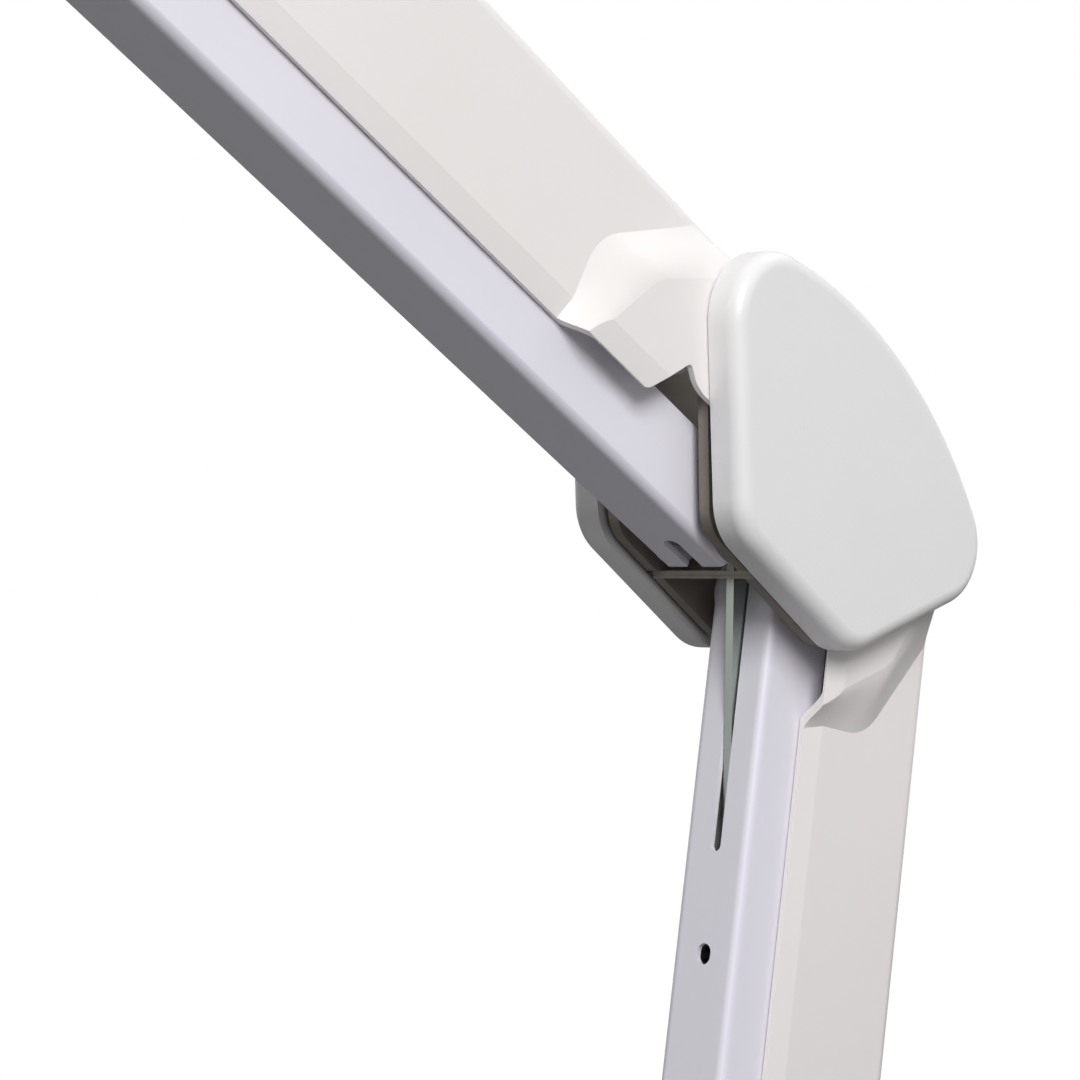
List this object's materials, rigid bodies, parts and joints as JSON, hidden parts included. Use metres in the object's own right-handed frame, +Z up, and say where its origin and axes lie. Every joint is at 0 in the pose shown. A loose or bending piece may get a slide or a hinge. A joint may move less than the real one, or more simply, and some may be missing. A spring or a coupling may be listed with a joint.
{
  "type": "clamp magnifier lamp",
  "caption": "Spring-balanced two-arm bench lamp with a table clamp, covered parallelogram arms on a fan-shaped elbow, and a round lit magnifier head with a lid.",
  "frame": {"origin": "centre line of the mounting post, in the plane of the clamp's upper jaw pad, where it rests on the table top", "axes": "+Z up along the mounting post, -X from the post towards the magnifier head, Y along the hinge pins"},
  "size_m": [0.7034, 0.224, 0.8788],
  "materials": {
    "channel_coat": "powder coat, lilac white, satin, on folded sheet steel",
    "cover_plastic": "injection moulded, warm white, soft gloss",
    "cap_plastic": "injection moulded, neutral white, fine spark texture",
    "plate_steel": "stamped steel, brown-grey phosphate",
    "zinc_steel": "bright zinc plate",
    "rivet_steel": "turned steel, bright zinc plate",
    "spring_steel": "oiled spring wire",
    "casting_coat": "powder coat, white, fine orange peel, on castings",
    "pad_rubber": "moulded rubber, black",
    "knob_plastic": "moulded nylon, charcoal",
    "head_plastic": "injection moulded, white, satin",
    "diffuser_plastic": "moulded opal acrylic",
    "board": "printed circuit board, white mask",
    "led_resin": "phosphor resin",
    "lens_glass": "ground and polished optical glass",
    "switch_plastic": "moulded, black"
  },
  "bodies": {
    "clamp": {"clamp_frame": "casting_coat", "clamp_jaw_pad": "pad_rubber"},
    "foot": {"clamp_foot": "casting_coat", "foot_pad": "pad_rubber"},
    "spindle": {"clamp_spindle": "rivet_steel", "clamp_knob": "knob_plastic"},
    "lock_screw": {"post_lock_screw": "rivet_steel"},
    "base": {"base_plate_far": "plate_steel", "base_plate_near": "plate_steel", "base_block": "casting_coat", "base_cap_far": "cap_plastic", "base_cap_near": "cap_plastic", "base_rivets": "rivet_steel", "base_post": "rivet_steel"},
    "lower_arm": {"lower_channel": "channel_coat", "lower_spring_anchor": "zinc_steel", "lower_spring": "spring_steel"},
    "lower_bar": {"lower_top_bar": "zinc_steel", "lower_cover": "cover_plastic", "lower_cover_screws": "rivet_steel"},
    "elbow": {"elbow_plate_far": "plate_steel", "elbow_plate_near": "plate_steel", "elbow_web": "plate_steel", "elbow_spacers": "zinc_steel", "elbow_cap_far": "cap_plastic", "elbow_cap_near": "cap_plastic", "elbow_rivets": "rivet_steel", "elbow_link_pin": "rivet_steel"},
    "lower_link": {"lower_draw_link": "zinc_steel"},
    "upper_arm": {"upper_channel": "channel_coat", "upper_spring_anchor": "zinc_steel", "upper_spring": "spring_steel"},
    "upper_bar": {"upper_top_bar": "zinc_steel", "upper_cover": "cover_plastic", "upper_cover_screws": "rivet_steel"},
    "wrist": {"wrist_plate_far": "plate_steel", "wrist_plate_near": "plate_steel", "wrist_block": "casting_coat", "wrist_cap_far": "cap_plastic", "wrist_cap_near": "cap_plastic", "wrist_rivets": "rivet_steel", "wrist_link_pin": "rivet_steel"},
    "upper_link": {"upper_draw_link": "zinc_steel"},
    "swivel": {"swivel_fork": "casting_coat", "swivel_nut": "rivet_steel", "tilt_bolt": "rivet_steel"},
    "knob": {"tilt_knob": "knob_plastic"},
    "head": {"head_housing": "head_plastic", "light_ring": "diffuser_plastic", "led_board": "board", "leds": "led_resin", "lens": "lens_glass", "lens_ring": "head_plastic", "switch_body": "switch_plastic", "head_tab": "casting_coat", "tab_screws": "rivet_steel", "cable_gland": "pad_rubber"},
    "lid": {"lens_lid": "head_plastic"},
    "rocker": {"switch_rocker": "switch_plastic"}
  },
  "joints": [
    {"name": "foot_slide", "type": "slide", "parent": "clamp", "child": "foot", "axis": [0, 0, 1], "range_m": [-0.031, 0.028]},
    {"name": "spindle_turn", "type": "hinge", "parent": "foot", "child": "spindle", "pos_m": [-0.004, 0, -0.115], "axis": [0, 0, 1], "range_deg": [-5580, 5040]},
    {"name": "lock_screw_turn", "type": "hinge", "parent": "clamp", "child": "lock_screw", "pos_m": [0.018, 0, 0.03], "axis": [1, 0, 0], "range_deg": [-90, 270]},
    {"name": "base_swivel", "type": "hinge", "parent": "clamp", "child": "base", "pos_m": [0, 0, 0.045], "axis": [0, 0, 1], "continuous": true},
    {"name": "lower_arm_lean", "type": "hinge", "parent": "base", "child": "lower_arm", "pos_m": [-0.012, 0, 0.074], "axis": [0, -1, 0], "range_deg": [-5, 45]},
    {"name": "lower_bar_lean", "type": "hinge", "parent": "base", "child": "lower_bar", "pos_m": [0.02267, 0, 0.08798], "axis": [0, -1, 0], "range_deg": [-5, 45]},
    {"name": "elbow_level", "type": "hinge", "parent": "lower_arm", "child": "elbow", "pos_m": [0.05677, 0, 0.46804], "axis": [0, -1, 0], "range_deg": [-45, 5]},
    {"name": "lower_link_swing", "type": "hinge", "parent": "elbow", "child": "lower_link", "pos_m": [0.04754, 0, 0.47915], "axis": [0, -1, 0], "range_deg": [-4.17, 37.48], "deforming": ["lower_spring"]},
    {"name": "upper_arm_fall", "type": "hinge", "parent": "elbow", "child": "upper_arm", "pos_m": [0.03504, 0, 0.48303], "axis": [0, -1, 0], "range_deg": [-18, 40]},
    {"name": "upper_bar_fall", "type": "hinge", "parent": "elbow", "child": "upper_bar", "pos_m": [0.03415, 0, 0.52155], "axis": [0, -1, 0], "range_deg": [-18, 40]},
    {"name": "wrist_level", "type": "hinge", "parent": "upper_arm", "child": "wrist", "pos_m": [-0.30711, 0, 0.69025], "axis": [0, -1, 0], "range_deg": [-40, 18]},
    {"name": "upper_link_swing", "type": "hinge", "parent": "wrist", "child": "upper_link", "pos_m": [-0.3208, 0, 0.68568], "axis": [0, -1, 0], "range_deg": [-15.14, 33.64], "deforming": ["upper_spring"]},
    {"name": "head_swivel", "type": "hinge", "parent": "wrist", "child": "swivel", "pos_m": [-0.3431, 0, 0.69025], "axis": [0, 0, 1], "range_deg": [-95, 95]},
    {"name": "head_tilt", "type": "hinge", "parent": "swivel", "child": "head", "pos_m": [-0.3431, 0, 0.64625], "axis": [0, -1, 0], "range_deg": [-35, 80]},
    {"name": "tilt_knob_turn", "type": "hinge", "parent": "swivel", "child": "knob", "pos_m": [-0.3431, -0.015, 0.64625], "axis": [0, -1, 0], "range_deg": [-90, 720]},
    {"name": "lid_lift", "type": "hinge", "parent": "head", "child": "lid", "pos_m": [-0.5621, 0, 0.66755], "axis": [0, -1, 0], "range_deg": [0, 110]},
    {"name": "rocker_press", "type": "hinge", "parent": "head", "child": "rocker", "pos_m": [-0.48911, -0.09, 0.66425], "axis": [0, 1, 0], "range_deg": [0, 14]}
  ],
  "couplings": [
    {"joint": "spindle_turn", "follows": "foot_slide", "rad_per_m": 3141.6},
    {"joint": "lower_bar_lean", "follows": "lower_arm_lean", "ratio": 1},
    {"joint": "elbow_level", "follows": "lower_arm_lean", "ratio": -1},
    {"joint": "lower_link_swing", "follows": "lower_arm_lean", "ratio": 0.833},
    {"joint": "upper_bar_fall", "follows": "upper_arm_fall", "ratio": 1},
    {"joint": "wrist_level", "follows": "upper_arm_fall", "ratio": -1},
    {"joint": "upper_link_swing", "follows": "upper_arm_fall", "ratio": 0.841}
  ]
}
